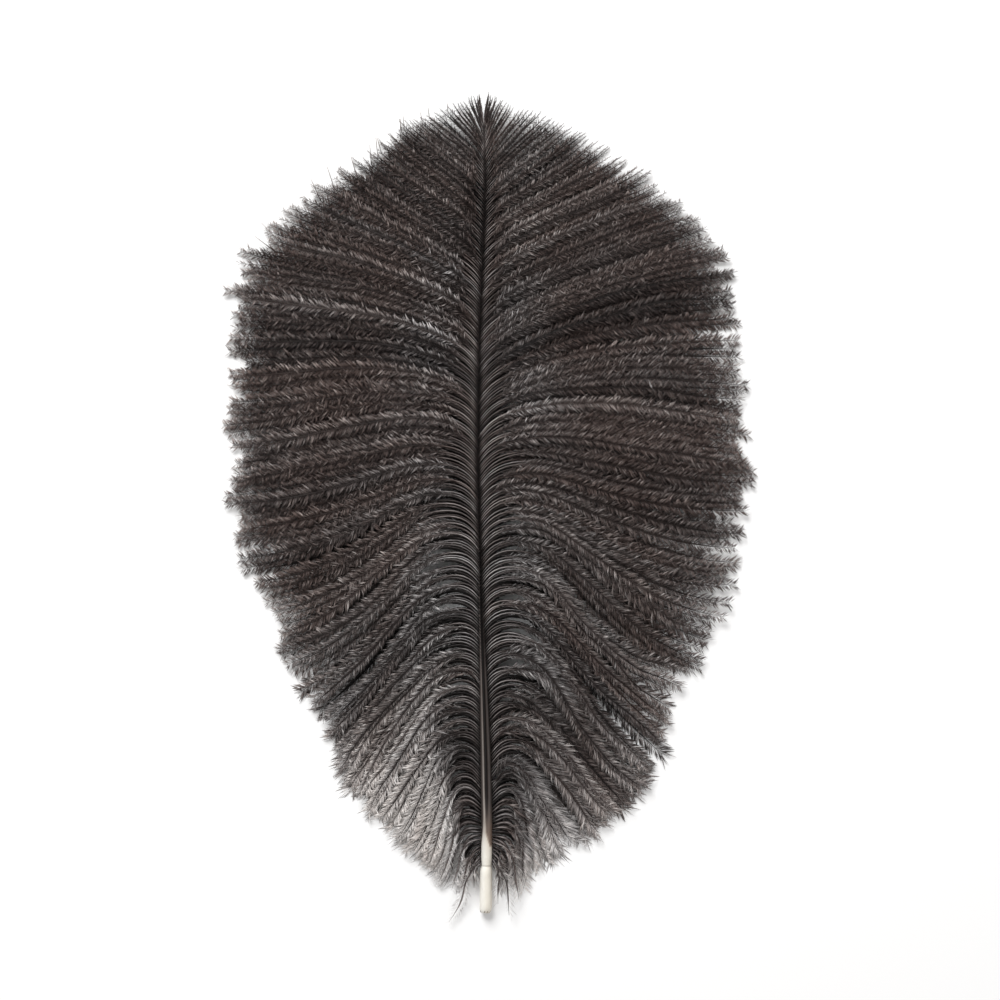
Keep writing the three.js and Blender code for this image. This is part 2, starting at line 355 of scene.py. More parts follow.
def barb_places(rng):
    """Where the barbs of one vane leave the shaft."""
    places = [FIRST_BARB_AT]
    while places[-1] < LAST_BARB_AT:
        places.append(places[-1] + along_table(BARB_PITCH, places[-1]))
    places = np.array(places) + rng.normal(0, PITCH_SPREAD, len(places))
    return np.sort(np.clip(places, FIRST_BARB_AT, LAST_BARB_AT))


def group_up(places, sizes, rng):
    """Puts neighbours together: the number of each place's group."""
    starts, fewest, most = np.array(sizes).T
    held = []
    while sum(held) < len(places):
        zone = np.searchsorted(starts, places[sum(held)], side="right") - 1
        held.append(rng.integers(fewest[zone], most[zone] + 1))
    return np.repeat(np.arange(len(held)), held)[:len(places)]


def group_size(group):
    return np.bincount(group)[group]


def group_middle(group, values):
    return (np.bincount(group, values) / np.bincount(group))[group]


def place_in_group(group):
    """From -1 on the quill's side of the group to 1 on the tip's side."""
    number = np.arange(len(group))
    return (number - group_middle(group, number)) / (group_size(group) / 2)


def group_barbs(side, rng):
    """Where one vane's barbs leave the shaft, and how they lie together in strands and locks."""
    at = barb_places(rng)
    strand = group_up(at, STRAND_SIZES, rng)
    strand_at = group_middle(strand, at)
    strand_starts = np.flatnonzero(np.diff(strand, prepend=-1))
    lock = group_up(strand_at[strand_starts], LOCK_SIZES, rng)[strand]

    barbs = SimpleNamespace(side=side, at=at, strand=strand, strand_at=strand_at, lock=lock)
    barbs.count = len(at)
    barbs.locks = lock.max() + 1
    barbs.lock_at = group_middle(lock, at)
    barbs.downy = 1 - ease(at, *DOWN)
    barbs.ropy = 1 - ease(at, *ROPES_END)
    barbs.pitch = along_table(BARB_PITCH, at)

    # Between two strands lies a valley, and between two locks a barb that lies low.
    barbs.valley = (np.diff(strand, prepend=0) > 0) & (group_size(strand) > 1)
    barbs.low_lying = (np.diff(lock, prepend=0) > 0) & (group_size(lock) > 2)
    barbs.edge = np.flatnonzero(barbs.low_lying)
    barbs.roped = barbs.ropy * ~barbs.low_lying
    barbs.crest = 1 - 2 * place_in_group(strand) ** 2
    barbs.central = 1 - place_in_group(lock) ** 2
    barbs.in_strand = place_in_group(strand) * barbs.ropy
    barbs.in_lock = place_in_group(lock) * barbs.ropy
    return barbs


# Some of the upper left barbs end in a bare pale hook.
HOOKED_SHARE = 0.22
HOOKED_FROM = 125
HOOKED_SHORTFALL = 0.01
SHORTFALL = (0.03, 0.05)
LOCK_LENGTH_SPREAD = 0.014
DOWN_RAGGEDNESS = (-0.5, 0.35)
LOCK_CRISP_SPREAD = 0.16
BARB_CRISP_SPREAD = 0.18


def size_barbs(barbs, stations, rng):
    """Adds each barb's length, and how far out it stays a clean ridge."""
    hooked = rng.random(barbs.count) < HOOKED_SHARE
    barbs.hooked = hooked & (barbs.at > HOOKED_FROM) & (barbs.side < 0)
    shortfall = np.abs(rng.normal(0, mix(*SHORTFALL, barbs.ropy)))
    shortfall = np.where(barbs.hooked, HOOKED_SHORTFALL, shortfall)
    of_lock = 1 + rng.normal(0, LOCK_LENGTH_SPREAD, barbs.locks)[barbs.lock]
    ragged = 1 + barbs.downy * rng.uniform(*DOWN_RAGGEDNESS, barbs.count)
    barbs.length = along_table(stations, barbs.at) * of_lock * (1 - shortfall) * ragged

    of_lock = rng.normal(0, LOCK_CRISP_SPREAD, barbs.locks)[barbs.lock]
    own = rng.normal(0, BARB_CRISP_SPREAD, barbs.count)
    barbs.crisp = np.maximum(along_table(CRISP_WIDTH, barbs.at) * (1 + of_lock + own), LEAST_CRISP)
    barbs.run_out = PATH_SHARES * barbs.length[:, None]
    barbs.loose = looseness(barbs.run_out, barbs.crisp[:, None])


# A pull is how far a barb moves into the middle of its strand or lock: 1 is all the way.
FINE_STRAND_PULL = (0.3, 0.6)
ROPY_STRAND_PULL = (0.65, 0.9)
FINE_LOCK_PULL = (0.1, 0.3)
ROPY_LOCK_PULL = (0.65, 0.9)
STRANDS_FORM = (0.3, 1.5)  # as shares of the crisp strip's width
LOCKS_FORM = (1.1, 3.5)
LOCK_BREATHING = 0.5  # spread of a lock's pull along it
LOCK_BREATHS = (0.8, 2.2)
PULL_BESIDE_EDGE = 0.6
PULL_LOST_AT_TIP = (0.7, 0.4)
CLOSED_GAP = 0.95  # barbs that lie further apart than this gather less, so that the vane closes
GAP_SOFTENING = 3


def gathered_paths(barbs, stations, rng):
    """Flat paths of barbs that gather into strands and then into locks on their way out."""
    field = heading_field(stations)
    own = guide_paths(barbs.side, field, barbs.at, barbs.length)
    in_strand = guide_paths(barbs.side, field, barbs.strand_at, barbs.length)
    in_lock = guide_paths(barbs.side, field, barbs.lock_at, barbs.length)
    barbs.gap = soften(gap_between(own), GAP_SOFTENING)

    fine = rng.uniform(*FINE_STRAND_PULL, barbs.count)
    strand_pull = mix(fine, rng.uniform(*ROPY_STRAND_PULL, barbs.count), barbs.ropy)
    fine = rng.uniform(*FINE_LOCK_PULL, barbs.count)
    lock_pull = mix(fine, rng.uniform(*ROPY_LOCK_PULL, barbs.count), barbs.ropy)
    beside_edge = np.isin(np.arange(barbs.count), barbs.edge - 1)
    kept = np.where(barbs.low_lying, 0, 1 - 0.5 * barbs.downy)
    kept = kept * np.where(beside_edge, PULL_BESIDE_EDGE, 1)
    kept = kept[:, None] * np.clip(CLOSED_GAP / barbs.gap, 0.3, 1) ** 2
    lost = mix(*PULL_LOST_AT_TIP, barbs.ropy)[:, None] * ease(PATH_SHARES, 0.5, 1)
    kept = kept * (1 - lost)

    crisp = barbs.crisp[:, None]
    formed = ease(barbs.run_out, STRANDS_FORM[0] * crisp, STRANDS_FORM[1] * crisp)
    strand_pull = strand_pull[:, None] * formed * kept
    breathing = wave(barbs.locks, LOCK_BREATHS, LOCK_BREATHING, rng)[barbs.lock]
    gathering = np.clip(1 + breathing, 0.2, 1.15)
    formed = ease(barbs.run_out, LOCKS_FORM[0] * crisp, LOCKS_FORM[1] * crisp)
    lock_pull = lock_pull[:, None] * formed * kept * gathering
    flat = mix(own, in_strand, strand_pull[..., None])
    return mix(flat, in_lock, lock_pull[..., None])


# Sideways wandering, in mm for a barb of REACH_LENGTH.
REACH_LENGTH = 70
DRIFT = (1.8, 2.3)
LOCK_WAVES = (0.5, 1.3)
LOCK_WAVE_SPREAD = 1.2
LOCK_SWAY = (0.2, 1.3)
MOST_LOCK_SWAY = 1.1
LOCK_TIP_SPREAD = 0.3
BARB_WAVES = (0.8, 2.6)
BARB_WAVE_SPREAD = 0.3
LIVELY_TIP = (195, 215)
BARB_TIP_SPREAD = 0.45
STRAYING_SHARE = (0.04, 0.09)
STRAY_SPREAD = (0.7, 2.6)
DOWN_STRAY_SPREAD = 8
LONG_HOOK = (-4.5, -2.5)  # how far the very end of a barb turns aside
SMALL_HOOK = (-0.8, 0.3)
HOOKS_START = (120, 150)
HOOKS_SHRINK = (190, 215)
HOOK_FROM = 0.94
QUILL_CLEARANCE = 3.4
QUILL_CLEARED = (11, 18)


def wander(barbs, flat, rng):
    """Neighbours wander together, locks and barbs a little on their own, and a few barbs stray."""
    share = PATH_SHARES
    drift = vane_drift(barbs.at[:, None], share, rng)
    lock_sway = wave(barbs.locks, LOCK_WAVES, LOCK_WAVE_SPREAD, rng)[barbs.lock]
    lock_sway = lock_sway * mix(*LOCK_SWAY, barbs.ropy)[:, None]
    lock_tips = rng.normal(0, LOCK_TIP_SPREAD, (barbs.locks, 1))[barbs.lock]
    lock_sway = np.clip(lock_sway, -MOST_LOCK_SWAY, MOST_LOCK_SWAY) + share ** 2 * lock_tips
    edge = barbs.edge
    lock_sway[edge] = (lock_sway[edge - 1] + lock_sway[edge]) / 2
    barb_sway = wave(barbs.count, BARB_WAVES, BARB_WAVE_SPREAD, rng)
    barb_sway = barb_sway * (1 + ease(barbs.at, *LIVELY_TIP))[:, None]
    strays = rng.random(barbs.count) < mix(*STRAYING_SHARE, barbs.ropy)
    stray = rng.normal(0, mix(*STRAY_SPREAD, barbs.ropy), barbs.count)
    stray = np.where(strays, stray, 0)[:, None]
    stray = stray + (DOWN_STRAY_SPREAD * barbs.downy * rng.normal(0, 1, barbs.count))[:, None]
    barbs.astray = stray != 0
    own_tips = rng.normal(0, BARB_TIP_SPREAD, (barbs.count, 1))
    reach = (barbs.length / REACH_LENGTH)[:, None]
    drift = drift * mix(*DRIFT, barbs.ropy)[:, None]
    sway = drift + lock_sway + barb_sway + share ** 2 * (own_tips + stray)
    sway = reach * barbs.loose * sway

    long_hook = rng.uniform(*LONG_HOOK, barbs.count)
    hook = np.where(barbs.hooked, long_hook, rng.uniform(*SMALL_HOOK, barbs.count))
    hook = hook * ease(barbs.at, *HOOKS_START)
    hook = hook * (1 - 0.5 * ease(barbs.at, *HOOKS_SHRINK))
    sway = sway + hook[:, None] * np.clip((share - HOOK_FROM) / (1 - HOOK_FROM), 0, 1) ** 2
    along = unit(np.gradient(flat, axis=1))
    across = np.stack([-along[..., 1], along[..., 0]], axis=-1)
    return flat - barbs.side * across * sway[..., None]


def clear_the_quill(side, flat):
    """The lowest down hangs past the quill on each side and leaves it clear."""
    clear = QUILL_CLEARANCE * (1 - ease(flat[..., 1], *QUILL_CLEARED))
    bow = shaft_value(flat[..., 1], BOW)
    beside = np.maximum(side * (flat[..., 0] - bow), clear * ease(PATH_SHARES, 0, 0.2))
    return np.stack([bow + side * beside, flat[..., 1]], axis=-1)


LOCK_LIFT_SPREAD = 0.6
LOCK_LIFT = (0.6, 1.3)
BARB_LIFT_SPREAD = 0.25
STRAY_LIFT = 0.6
CREST_LIFT = (0.2, 0.5)
CENTRAL_LIFT = (0.4, 1.4)
LOW_LYING_DROP = (0.7, 1.6)
VALLEY_DROP = 0.4
VALLEYS_START = (1.5, 4.5)


def heights(barbs, rng):
    """Heights of all path points: strands, and locks most of all, are crowned like ropes."""
    lift = rng.normal(0, LOCK_LIFT_SPREAD, (barbs.locks, 1))[barbs.lock]
    lift = lift * mix(*LOCK_LIFT, barbs.ropy)[:, None]
    lift = lift + rng.normal(0, BARB_LIFT_SPREAD, (barbs.count, 1)) + STRAY_LIFT * barbs.astray
    lift = lift + (mix(*CREST_LIFT, barbs.ropy) * barbs.crest)[:, None]
    crown = mix(*CENTRAL_LIFT, barbs.ropy) * barbs.central
    lift = lift + (crown - mix(*LOW_LYING_DROP, barbs.ropy) * barbs.low_lying)[:, None]
    height = barb_height(barbs.at[:, None], PATH_SHARES)
    height = height + lift * barbs.loose * (1 - 0.5 * PATH_SHARES)
    valley = barbs.valley[:, None] * ease(barbs.run_out, *VALLEYS_START)
    height = height - VALLEY_DROP * valley * (1 - barbs.loose)
    return np.maximum(height, LEAST_HEIGHT)


LOCK_TONE_SPREAD = 0.02
STRAND_TONE_SPREAD = 0.036
BARB_TONE_SPREAD = 0.025
# Painted light: barbs in the middle of a strand or lock are paler, like a lit crown, and a
# strand's edge barbs are darker.
CREST_LIGHT_AND_SHADE_TONE = (0.03, 0.075)
CENTRAL_HIGHLIGHT_TONE = (0.0, 0.02)
# Painted shade: the low-lying barbs between locks are darker.
LOW_LYING_SHADE_TONE = (-0.07, -0.15)
MEAN_HUE = 0.25
ROPY_HUE = 0.3
LOCK_HUE_SPREAD = 0.1
BARB_HUE_SPREAD = 0.12


def colour_barbs(barbs, rng):
    """Adds each barb's own tone and hue, with painted highlight on the crowns of strands and
    locks, and painted shade on strand edges and on the low-lying barbs.
    """
    strands = barbs.strand.max() + 1
    tone = rng.normal(0, LOCK_TONE_SPREAD, barbs.locks)[barbs.lock]
    tone = tone + rng.normal(0, STRAND_TONE_SPREAD, strands)[barbs.strand]
    tone = tone + rng.normal(0, BARB_TONE_SPREAD, barbs.count)
    tone = tone + mix(*CREST_LIGHT_AND_SHADE_TONE, barbs.ropy) * barbs.crest
    tone = tone + mix(*CENTRAL_HIGHLIGHT_TONE, barbs.ropy) * barbs.central
    barbs.tone = tone + mix(*LOW_LYING_SHADE_TONE, barbs.ropy) * barbs.low_lying
    hue = MEAN_HUE + ROPY_HUE * barbs.ropy
    hue = hue + rng.normal(0, LOCK_HUE_SPREAD, barbs.locks)[barbs.lock]
    barbs.hue = hue + rng.normal(0, BARB_HUE_SPREAD, barbs.count)


def grow_barbs(side, stations, rng):
    """All barbs of one vane, with their paths in 3-D and what their meshes need to know."""
    barbs = group_barbs(side, rng)
    size_barbs(barbs, stations, rng)
    flat = gathered_paths(barbs, stations, rng)
    flat = clear_the_quill(side, wander(barbs, flat, rng))
    height = heights(barbs, rng)
    barbs.paths = np.concatenate([flat, height[..., None]], axis=2)
    colour_barbs(barbs, rng)
    return barbs


# ---------------- tones along the vane

# Pale down: the down round the quill is pale, most of all on the left and towards its ends.
# A pair of palenesses, or of ends, holds the right vane's value and the left vane's.
FIRST_DOWN_PALENESS = 0.4
FIRST_DOWN_FADES = (15, 25)
QUILL_DOWN_START = 22
QUILL_DOWN_ENDS = (66, 80)
QUILL_DOWN_PALENESS = (0.22, 0.72)
LOWEST_DOWN_FADES = (24, 44)
LOWEST_DOWN_PALENESS = (0.15, 0.34)
BOTTOM_EDGE_FADES = (60, 105)
BOTTOM_EDGE_PALENESS = (0.14, 0.2)
# Pale tips: so are the very ends of the barbs on the feather's upper edge.
UPPER_EDGE_PALENESS = (0.15, 0.4)
UPPER_EDGE_STARTS = (50, 140)
# LEFT_TONE: at, how much paler the left vane is.
LEFT_TONE = [
    (30, 0), (50, 0.02), (75, 0.02), (100, 0),
    (130, 0), (165, -0.02), (200, -0.02), (222, 0),
]
# RIGHT_TONE: at, how much paler the right vane is.
RIGHT_TONE = [(25, 0), (45, -0.025), (70, -0.025), (90, 0), (110, 0.018), (145, 0.018), (170, 0)]


def base_paleness(side, at, share):
    """How much paler the down is, all in all."""
    left = side < 0
    first = FIRST_DOWN_PALENESS * (1 - ease(at, *FIRST_DOWN_FADES))
    near_quill = 1 - ease(at, QUILL_DOWN_START, mix(*QUILL_DOWN_ENDS, left))
    lowest = (1 - ease(at, *LOWEST_DOWN_FADES)) * ease(share, 0.4, 0.9)
    bottom_edge = (1 - ease(at, *BOTTOM_EDGE_FADES)) * ease(share, 0.6, 1.0)
    pale = near_quill * ease(share, 0.12, 0.6) * mix(*QUILL_DOWN_PALENESS, left)
    pale = pale + mix(*LOWEST_DOWN_PALENESS, left) * lowest
    pale = pale + mix(*BOTTOM_EDGE_PALENESS, left) * bottom_edge
    return np.maximum(pale, first)


def upper_edge_paleness(side, at, share):
    end = mix(*UPPER_EDGE_PALENESS, side < 0) * ease(at, *UPPER_EDGE_STARTS)
    return end * ease(share, 0.93, 0.99)


def patches(barbs, rows, run_out):
    """Broad soft patches over a vane, from -1 to 1."""
    at = barbs.at[rows] + 40 * barbs.side
    return np.sin(at / 7 + run_out / 13) * np.sin(at / 19 - run_out / 9 + 1)


# ---------------- webs

# A web is a barb's stem with the dense roots of its blades. It is a thin ridge, broad in the
# crisp strip, that tapers to a point. A pair holds the loose web's value and the crisp one's.
WEB_HALF_WIDTH = (0.5, 0.36)  # in the upper vane and the lower one
LOW_LYING_WIDENING = 0.25
SMALL_DOWN_WEB = 0.65
DOWN_WEB_GROWS = (22, 50)
CRISP_WEB_SHARE = 0.6  # half its width, as a share of the gap between barbs
WIDEST_GAP = 1.8
ROOT_WEB_SHARE = 0.4
ROOT_WEB_HALF_WIDTH = 0.25
BARE_HALF_WIDTH = 0.04
HOOK_HALF_WIDTH = 0.05
SLIM_TOP = (165, 215)
SLIM_TOP_SHARE = 0.6
TAPERS = (0.65, 1.0)
BARE_HOOK = (0.92, 0.95)
CREST_HEIGHTS = (0.05, 0.3)
FOOT_DEPTHS = (0.4, 0.6)
TIP_THICKNESS = 0.03
CREST_LEAN = 0.25
# The ring's corners after the crest: how far to the side, and how far down to the foot.
WEB_CORNERS = ((-0.3, 0.35), (-1, 1), (1, 1), (0.3, 0.35))


def web_mesh(barbs, pick, rng):
    """The webs of the picked barbs."""
    paths = barbs.paths[pick][:, WEB_RINGS]

    def each(values):
        return values[pick][:, None, None]

    web = SimpleNamespace(side=barbs.side, share=PATH_GRID[WEB_RINGS][None, :, None])
    web.shape = (*paths.shape[:2], 1)
    web.at = each(barbs.at)
    web.run_out = web.share * each(barbs.length)
    web.own_crisp = each(barbs.crisp)
    web.crisp = 1 - looseness(web.run_out, web.own_crisp)
    web.hooked = each(barbs.hooked) * ease(web.share, *BARE_HOOK)
    web.ropy = each(barbs.ropy)
    web.low_lying = each(barbs.low_lying)
    web.pitch = each(barbs.pitch)
    web.gap = barbs.gap[pick][:, WEB_RINGS, None]
    web.valley = each(barbs.valley) * web.crisp * ease(web.run_out, *VALLEYS_START)
    web.tone = each(barbs.tone)
    web.hue = each(barbs.hue)
    points = web_points(web, paths, rng)
    tones, hues = web_colours(web, rng)
    return points, web_faces(*paths.shape[:2]), tones, hues


def web_points(web, paths, rng):
    """Rings of points along every path."""
    along = unit(np.gradient(paths, axis=1))
    across = unit(np.cross(UP, along))
    above = np.cross(along, across)
    taper = 1 - ease(web.share, *TAPERS)
    slim = mix(1.0, SLIM_TOP_SHARE, ease(web.at, *SLIM_TOP))
    loose_spread = mix(*WEB_HALF_WIDTH, web.ropy) + LOW_LYING_WIDENING * web.low_lying
    loose_spread = loose_spread * mix(SMALL_DOWN_WEB, 1, ease(web.at, *DOWN_WEB_GROWS))
    crisp_spread = CRISP_WEB_SHARE * np.clip(web.gap, web.pitch, WIDEST_GAP)
    base_ends = ease(web.at, *BASE_ENDS)
    root_spread = mix(ROOT_WEB_SHARE * web.pitch, ROOT_WEB_HALF_WIDTH, base_ends)
    spread = mix(loose_spread, crisp_spread, web.crisp) * slim
    spread = mix(root_spread, spread, ease(web.run_out, 0, 4))
    spread = spread * rng.uniform(0.8, 1.2, web.shape)
    half = mix(BARE_HALF_WIDTH + HOOK_HALF_WIDTH * web.hooked, spread, taper)
    crest_height, crisp_height = CREST_HEIGHTS
    foot_depth, crisp_depth = FOOT_DEPTHS
    crest = above * mix(mix(TIP_THICKNESS, crest_height, taper), crisp_height, web.crisp) * slim
    crest = crest + across * web.side * CREST_LEAN * web.crisp * slim
    foot = -above * mix(mix(TIP_THICKNESS, foot_depth, taper), crisp_depth, web.crisp) * slim
    corners = [crest]
    for turn, depth in WEB_CORNERS:
        corners.append(mix(crest, foot, depth) + across * half * turn)
    points = np.stack([paths + corner for corner in corners], axis=2).reshape(-1, 3)
    return above_table(points, 0.02)


def above_table(points, lowest):
    return np.maximum(points, [-np.inf, -np.inf, lowest])


def web_faces(count, rings):
    """Triangles between the rings of every web, and its two ends."""
    sides = 1 + len(WEB_CORNERS)
    faces = []
    for ring in range(rings - 1):
        for corner in range(sides):
            near = ring * sides + corner
            near_next = ring * sides + (corner + 1) % sides
            faces.append((near, near_next, near_next + sides))
            faces.append((near, near_next + sides, near + sides))
    last = (rings - 1) * sides
    for corner in range(2, sides):
        faces.append((0, corner, corner - 1))
        faces.append((last, last + corner - 1, last + corner))
    starts = np.arange(count) * rings * sides
    return (np.array(faces)[None] + starts[:, None, None]).reshape(-1, 3)


# In the crisp strip a web's pale crest is a painted highlight, and its dark edges are painted
# shade between the ridges.
STEM_TONE = 0.14
CRISP_RIDGE_HIGHLIGHT_TONE = (0.57, 0.74)  # at the base and past it
STEM_TONE_SPREAD = 0.06
RIDGE_HIGHLIGHT_GROWS_OVER = 2.6
EDGE_TONE = 0.16
CRISP_FOOT_SHADE_TONE = (0.19, 0.03)  # at the base and past it
FOOT_SHADE_DEEPENS = (18, 75)
EDGE_TONE_SPREAD = 0.03
LOWEST_STEM_PALENESS = 0.3
LOWEST_STEMS_END = (18, 30)
HOOK_PALENESS = 0.7
# Painted shade in the valleys between strands.
VALLEY_SHADE = 0.14
CRISP_HUE = 0.4
CORNER_HUES = np.array([-0.1, 0.0, 0.05, 0.0, -0.05])


def web_colours(web, rng):
    """The crest is the dark stem, but in the crisp strip a pale line of painted highlight. The
    edges are dark, and in the crisp strip they carry painted shade between the ridges.
    """
    rise = ease(web.run_out, 0, np.minimum(RIDGE_HIGHLIGHT_GROWS_OVER, 0.6 * web.own_crisp))
    ridge = mix(*CRISP_RIDGE_HIGHLIGHT_TONE, ease(web.at, *CALM_BASE_ENDS))
    stem = mix(STEM_TONE, ridge, web.crisp * rise) + rng.normal(0, STEM_TONE_SPREAD, web.shape)
    of_barb = rng.normal(0, STEM_TONE_SPREAD, (web.shape[0], 1, 1))
    stem = stem + web.crisp * of_barb
    foot_shade = mix(*CRISP_FOOT_SHADE_TONE, ease(web.at, *FOOT_SHADE_DEEPENS))
    edge = mix(EDGE_TONE, foot_shade, web.crisp) + rng.normal(0, EDGE_TONE_SPREAD, web.shape)
    pale = base_paleness(web.side, web.at, web.share)
    lowest = LOWEST_STEM_PALENESS * (1 - ease(web.at, *LOWEST_STEMS_END)) * web.share
    stem = stem + lowest + 0.14 * pale + upper_edge_paleness(web.side, web.at, web.share)
    stem = stem + HOOK_PALENESS * web.hooked
    edge = edge + 0.3 * pale + HOOK_PALENESS * web.hooked
    shoulder = mix(edge, stem, mix(0.5, 0.31, web.crisp))
    tone = np.concatenate([stem, shoulder, edge, edge + 0.03, shoulder], axis=2)
    # Painted shade darkens the valleys between strands in the crisp strip.
    tone = tone + web.tone - VALLEY_SHADE * web.valley
    hue = web.hue + CRISP_HUE * web.crisp + CORNER_HUES
    return tone.ravel(), hue.ravel()


# ---------------- blades

FEWEST_BLADES = 6  # on each side of a barb
FIRST_BLADE_SHARE = 0.012
LAST_BLADE_SHARE = 0.997
TUFT_LENGTH = 0.8
TUFT_STAGGER = 0.35


def plant_blades(barbs, pick, rng):
    """For every blade: the barb it sits on, its place along it, its side, and its tuft."""
    crisp = np.minimum(barbs.crisp, 0.5 * barbs.length)[pick]
    thinned = barbs.length[pick] - crisp * (1 - CRISP_DENSITY)
    spacing = along_table(BLADE_SPACING, barbs.at[pick])
    counts = np.maximum(FEWEST_BLADES, (thinned / spacing).astype(int))
    order = np.repeat(np.arange(len(pick)), 2 * counts)
    rows = pick[order]
    number = np.concatenate([np.repeat(np.arange(count), 2) for count in counts])
    turn = np.tile([1.0, -1.0], len(rows) // 2)
    ran = (number + rng.uniform(0, 1, len(rows))) / counts[order] * thinned[order]
    sparse = ran < CRISP_DENSITY * crisp[order]
    place = np.where(sparse, ran / CRISP_DENSITY, ran + crisp[order] * (1 - CRISP_DENSITY))
    span = LAST_BLADE_SHARE - FIRST_BLADE_SHARE
    share = FIRST_BLADE_SHARE + span * place / barbs.length[rows]
    tuft_phase = rng.uniform(0, 1, barbs.count)[rows]
    tuft = (place / TUFT_LENGTH + tuft_phase + TUFT_STAGGER * turn).astype(int)
    key = (rows * 400 + tuft) * 2 + (turn > 0)  # a barb has far fewer than 400 tufts
    tuft = np.unique(key, return_inverse=True)[1].ravel()
    blades = SimpleNamespace(rows=rows, share=share, turn=turn, tuft=tuft)
    blades.count = len(rows)
    blades.tufts = tuft.max() + 1
    return blades


# TIP_SHORTENING: at, how much of the shortening towards a barb's tip the blades get.
TIP_SHORTENING = [(30, 0.5), (60, 0.2), (150, 0.2), (190, 1)]
SPREAD_OUT_GAPS = (0.85, 1.5)
SPREAD_OUT_LENGTHENING = (0.8, 0.35)  # at the base and past it
ROOT_SINK = (-0.12, 0.05)


def follow_barbs(barbs, blades):
    """Adds where each blade's root is, which way its barb runs, and what grows there."""
    rows = blades.rows
    place = np.interp(blades.share, PATH_GRID, np.arange(PATH_STEPS + 1))
    low = np.minimum(place.astype(int), PATH_STEPS - 1)
    part = (place - low)[:, None]
    here = barbs.paths[rows, low]
    there = barbs.paths[rows, low + 1]
    blades.at = barbs.at[rows]
    blades.ropy = barbs.ropy[rows]
    blades.along = unit(there - here)
    blades.across = unit(np.cross(UP, blades.along)) * blades.turn[:, None]
    blades.root = mix(here, there, part) + UP * 0.08
    blades.root = blades.root + blades.across * mix(*ROOT_SINK, blades.ropy)[:, None]

    blades.run_out = blades.share * barbs.length[rows]
    blades.end = ease(blades.share, 0.8, 1.0)
    blades.near_tip = blades.end * along_table(TIP_SHORTENING, blades.at)
    blades.calm = mix(0.6, 1, ease(blades.at, *BASE_ENDS))
    gap_opens = ease(barbs.gap[rows, low], *SPREAD_OUT_GAPS)
    spread_out = gap_opens * (1 - ease(blades.share, 0.8, 0.95))
    lengthening = mix(*SPREAD_OUT_LENGTHENING, ease(blades.at, 26, 50)) * spread_out
    blades.full = along_table(BLADE_LENGTH, blades.at) * (1 + lengthening)
    crisp = barbs.crisp[rows]
    blades.fluff = ease(blades.run_out, 0.3 * crisp, 2 * crisp)

    # In a rope of barbs the blades spread outwards, and those that point to its middle are short.
    merged = ease(blades.run_out, 1.5 * crisp, 3 * crisp)
    off_middle = mix(barbs.in_strand[rows], barbs.in_lock[rows], merged)
    outward = ease(off_middle * blades.turn * barbs.side, -0.6, 0.5)
    blades.inner = (1 - outward) * barbs.roped[rows] * blades.fluff


CRISP_BLADE = 0.6
QUILL_SHORTENING = (8, 22)
CRISP_SPLAY = 18
SPLAY = (47, 36)
TUFT_SPLAY_SPREAD = 8
BLADE_SPLAY_SPREAD = 7
DROOPS = (-0.02, -0.16)  # in the crisp strip and outside it
DROOP_SPREAD = 0.13
BEND_AT = 0.48
TUFT_PULL = (0.2, 0.32)
BLADE_WIDTHS = (0.055, 0.09)
SLIM_DOWN = 0.65


def blade_points(barbs, blades, rng):
    """Slim closed blades of four points, each of which bends forward and droops."""
    fluff = blades.fluff
    low_lying = barbs.low_lying[blades.rows]
    size = mix(CRISP_BLADE, blades.full, fluff) * mix(1.0, 0.3, blades.near_tip)
    size = size * rng.uniform(0.7, 1.2, blades.count)
    size = size * rng.uniform(0.8, 1.2, blades.tufts)[blades.tuft]
    size = size * (1 + 0.3 * low_lying * blades.ropy)
    bare = barbs.hooked[blades.rows] * ease(blades.share, *BARE_HOOK)
    beside_quill = mix(0.6, 1, ease(blades.root[:, 1], *QUILL_SHORTENING))
    size = size * (1 - 0.65 * blades.inner) * (1 - 0.9 * bare) * beside_quill
    splay = mix(CRISP_SPLAY, mix(*SPLAY, blades.ropy), fluff) * mix(1.0, 0.55, blades.near_tip)
    of_tuft = rng.normal(0, TUFT_SPLAY_SPREAD, blades.tufts)[blades.tuft]
    splay = splay + of_tuft * fluff * blades.calm
    own = rng.normal(0, BLADE_SPLAY_SPREAD + 8 * blades.end, blades.count)
    splay = np.radians(splay + own * blades.calm)
    droop = mix(*DROOPS, fluff) + rng.normal(0, DROOP_SPREAD, blades.count) * blades.calm

    def step(angle, fall):
        forward = blades.along * np.cos(angle)[:, None] + blades.across * np.sin(angle)[:, None]
        return unit(forward + UP * fall[:, None])

    first = step(splay * 1.15, droop + 0.12)
    second = step(splay * 0.78, droop - 0.2)
    bend = blades.root + first * (BEND_AT * size)[:, None]
    tip = bend + second * ((1 - BEND_AT) * size)[:, None]
    gather = (fluff * ease(blades.at, *BASE_ENDS))[:, None]
    tip = gather_tufts(tip, blades.tuft, mix(*TUFT_PULL, blades.ropy)[:, None] * gather)
    bend = gather_tufts(bend, blades.tuft, 0.08 * gather)

    roll = rng.normal(0, 0.5, blades.count)[:, None] + 0.35 * blades.turn[:, None]
    flat_side = unit(np.cross(UP, tip - blades.root))
    upright = np.cross(unit(tip - blades.root), flat_side)
    width_way = flat_side * np.cos(roll) + upright * np.sin(roll)
    width = np.clip(0.03 * size, *BLADE_WIDTHS)
    width = width * mix(SLIM_DOWN, 1, ease(blades.at, *BASE_ENDS))
    left = bend + width_way * width[:, None] / 2
    right = bend - width_way * width[:, None] / 2
    return np.stack([blades.root, left, right, tip], axis=1)


